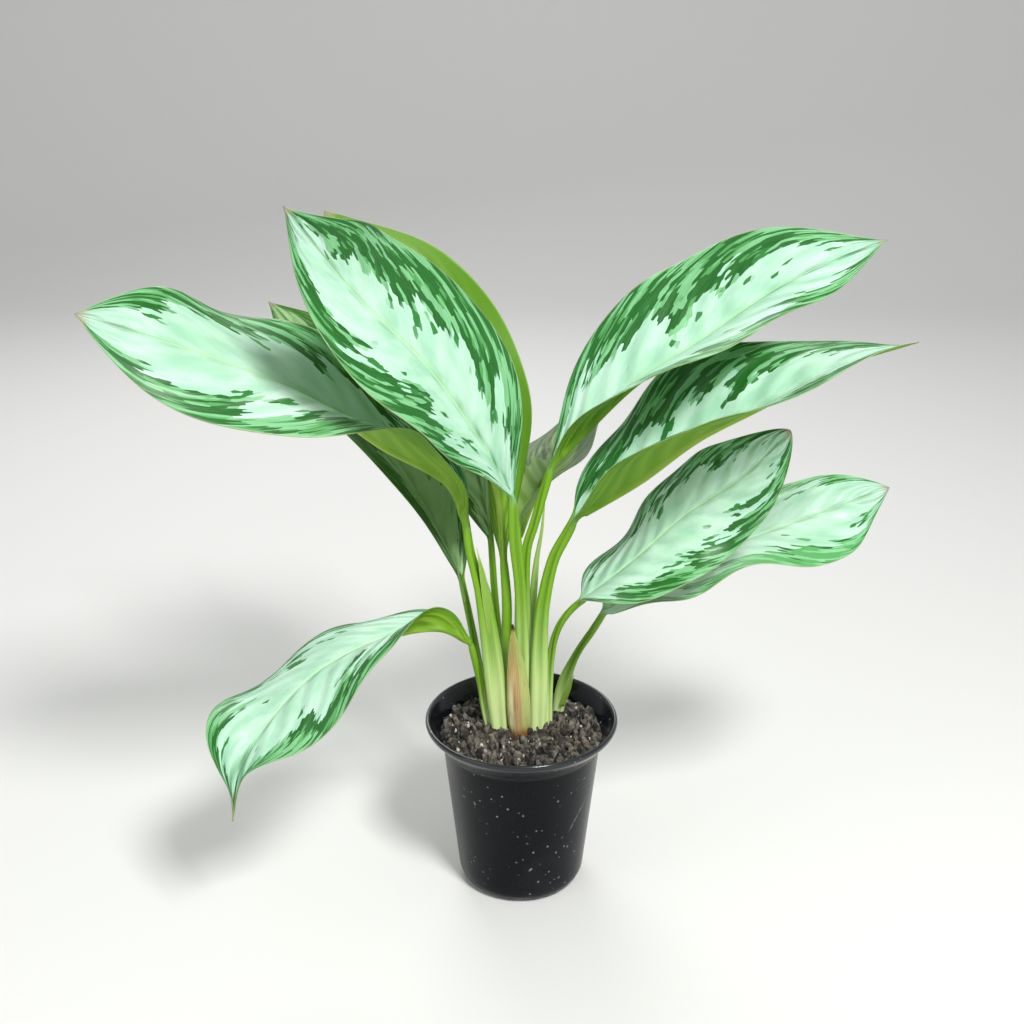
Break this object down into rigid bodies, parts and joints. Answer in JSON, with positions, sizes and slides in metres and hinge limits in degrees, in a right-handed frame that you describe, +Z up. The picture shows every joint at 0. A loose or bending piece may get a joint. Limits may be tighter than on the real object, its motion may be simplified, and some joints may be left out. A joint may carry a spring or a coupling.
{
  "type": "potted aglaonema plant",
  "caption": "Silver-variegated foliage plant with long pointed waved leaves on upright stalks, growing in soil in a round black plastic nursery pot.",
  "frame": {"origin": "centre of the underside of the pot, on the surface that it stands on", "axes": "+Z up along the pot's axis, +X to the right and -Y towards the viewer as the plant is pictured"},
  "size_m": [0.4425, 0.2347, 0.4433],
  "materials": {
    "pot": "smooth near-black plastic, half gloss, with light dust",
    "soil": "loose dark potting mix with bark and white grains",
    "crown": "fibrous, matt",
    "leaf": "silver-mint blade with jagged green margins, soft gloss",
    "new_leaf": "pale green, soft gloss",
    "dry_sheath": "dry and papery, tan"
  },
  "bodies": {
    "root": {"pot": "pot", "soil": "soil", "crown": "crown", "leaf_front_large": "leaf", "leaf_left_long": "leaf", "leaf_left_back": "leaf", "leaf_centre_young": "leaf", "leaf_back_left": "leaf", "leaf_low_drooping": "leaf", "leaf_back_right": "leaf", "leaf_right_top": "leaf", "leaf_right_upper": "leaf", "leaf_right_lower": "leaf", "leaf_right_lowest": "leaf", "new_leaf_spear": "new_leaf", "dry_sheath": "dry_sheath"}
  },
  "joints": []
}
